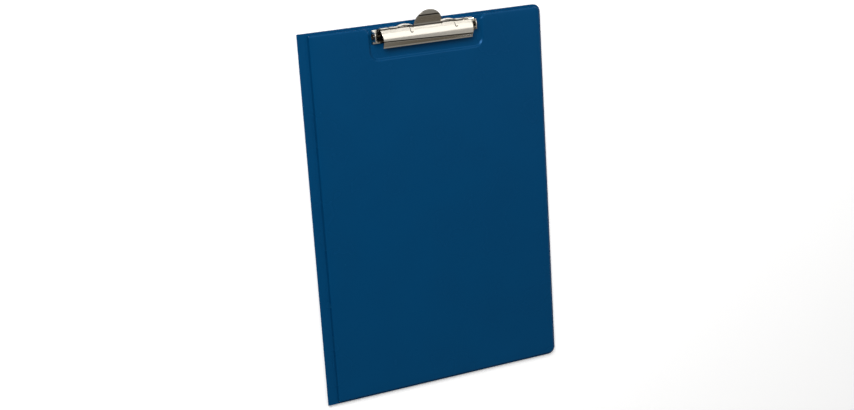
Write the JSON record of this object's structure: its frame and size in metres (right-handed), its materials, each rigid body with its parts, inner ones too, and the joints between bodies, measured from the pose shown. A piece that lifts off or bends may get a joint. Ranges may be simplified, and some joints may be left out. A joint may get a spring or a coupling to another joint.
{
  "type": "clipboard folder",
  "caption": "Padded board with a lever clip in a moulded recess, a soft spine and a padded cover with a paper pocket, folded round behind the board.",
  "frame": {"origin": "under the centre of the whole outline, on the surface that the folded folder lies on", "axes": "+Z out of the writing side, +Y towards the clip end, +X towards the right edge"},
  "size_m": [0.2372, 0.3495, 0.0173],
  "materials": {
    "blue_pvc_film": "satin, fine embossed grain",
    "blue_pvc_lining": "satin, fine embossed grain",
    "clear_pvc_film": "satin",
    "greyboard": "raw",
    "nickel_plated_steel": "bright nickel",
    "spring_steel": "drawn"
  },
  "bodies": {
    "board": {"board_outer_skin": "blue_pvc_film", "board_core": "greyboard", "board_face_card": "greyboard", "board_lining": "blue_pvc_lining", "clip_base": "nickel_plated_steel", "clip_pin": "nickel_plated_steel", "clip_spring": "spring_steel", "clip_rivets": "nickel_plated_steel"},
    "spine_near": {"spine_near_outer": "blue_pvc_film", "spine_near_lining": "blue_pvc_lining"},
    "spine_far": {"spine_far_outer": "blue_pvc_film", "spine_far_lining": "blue_pvc_lining"},
    "cover": {"cover_outer_skin": "blue_pvc_film", "cover_core": "greyboard", "cover_lining": "blue_pvc_lining", "cover_pocket": "clear_pvc_film"},
    "jaw": {"clip_jaw": "nickel_plated_steel"}
  },
  "joints": [
    {"name": "board_fold", "type": "hinge", "parent": "board", "child": "spine_near", "pos_m": [-0.11077, 0, 0.0038], "axis": [0, 1, 0], "range_deg": [0, 90]},
    {"name": "spine_crease", "type": "hinge", "parent": "spine_near", "child": "spine_far", "pos_m": [-0.11878, 0, 0.00295], "axis": [0, 1, 0], "range_deg": [0, 180]},
    {"name": "cover_fold", "type": "hinge", "parent": "spine_far", "child": "cover", "pos_m": [-0.11077, 0, 0.0021], "axis": [0, 1, 0], "range_deg": [0, 90]},
    {"name": "jaw_hinge", "type": "hinge", "parent": "board", "child": "jaw", "pos_m": [0, 0.15575, 0.01], "axis": [-1, 0, 0], "range_deg": [0, 22], "stiffness_Nm_per_rad": 0.08, "springref_deg": -68.75, "deforming": ["clip_spring"]}
  ]
}
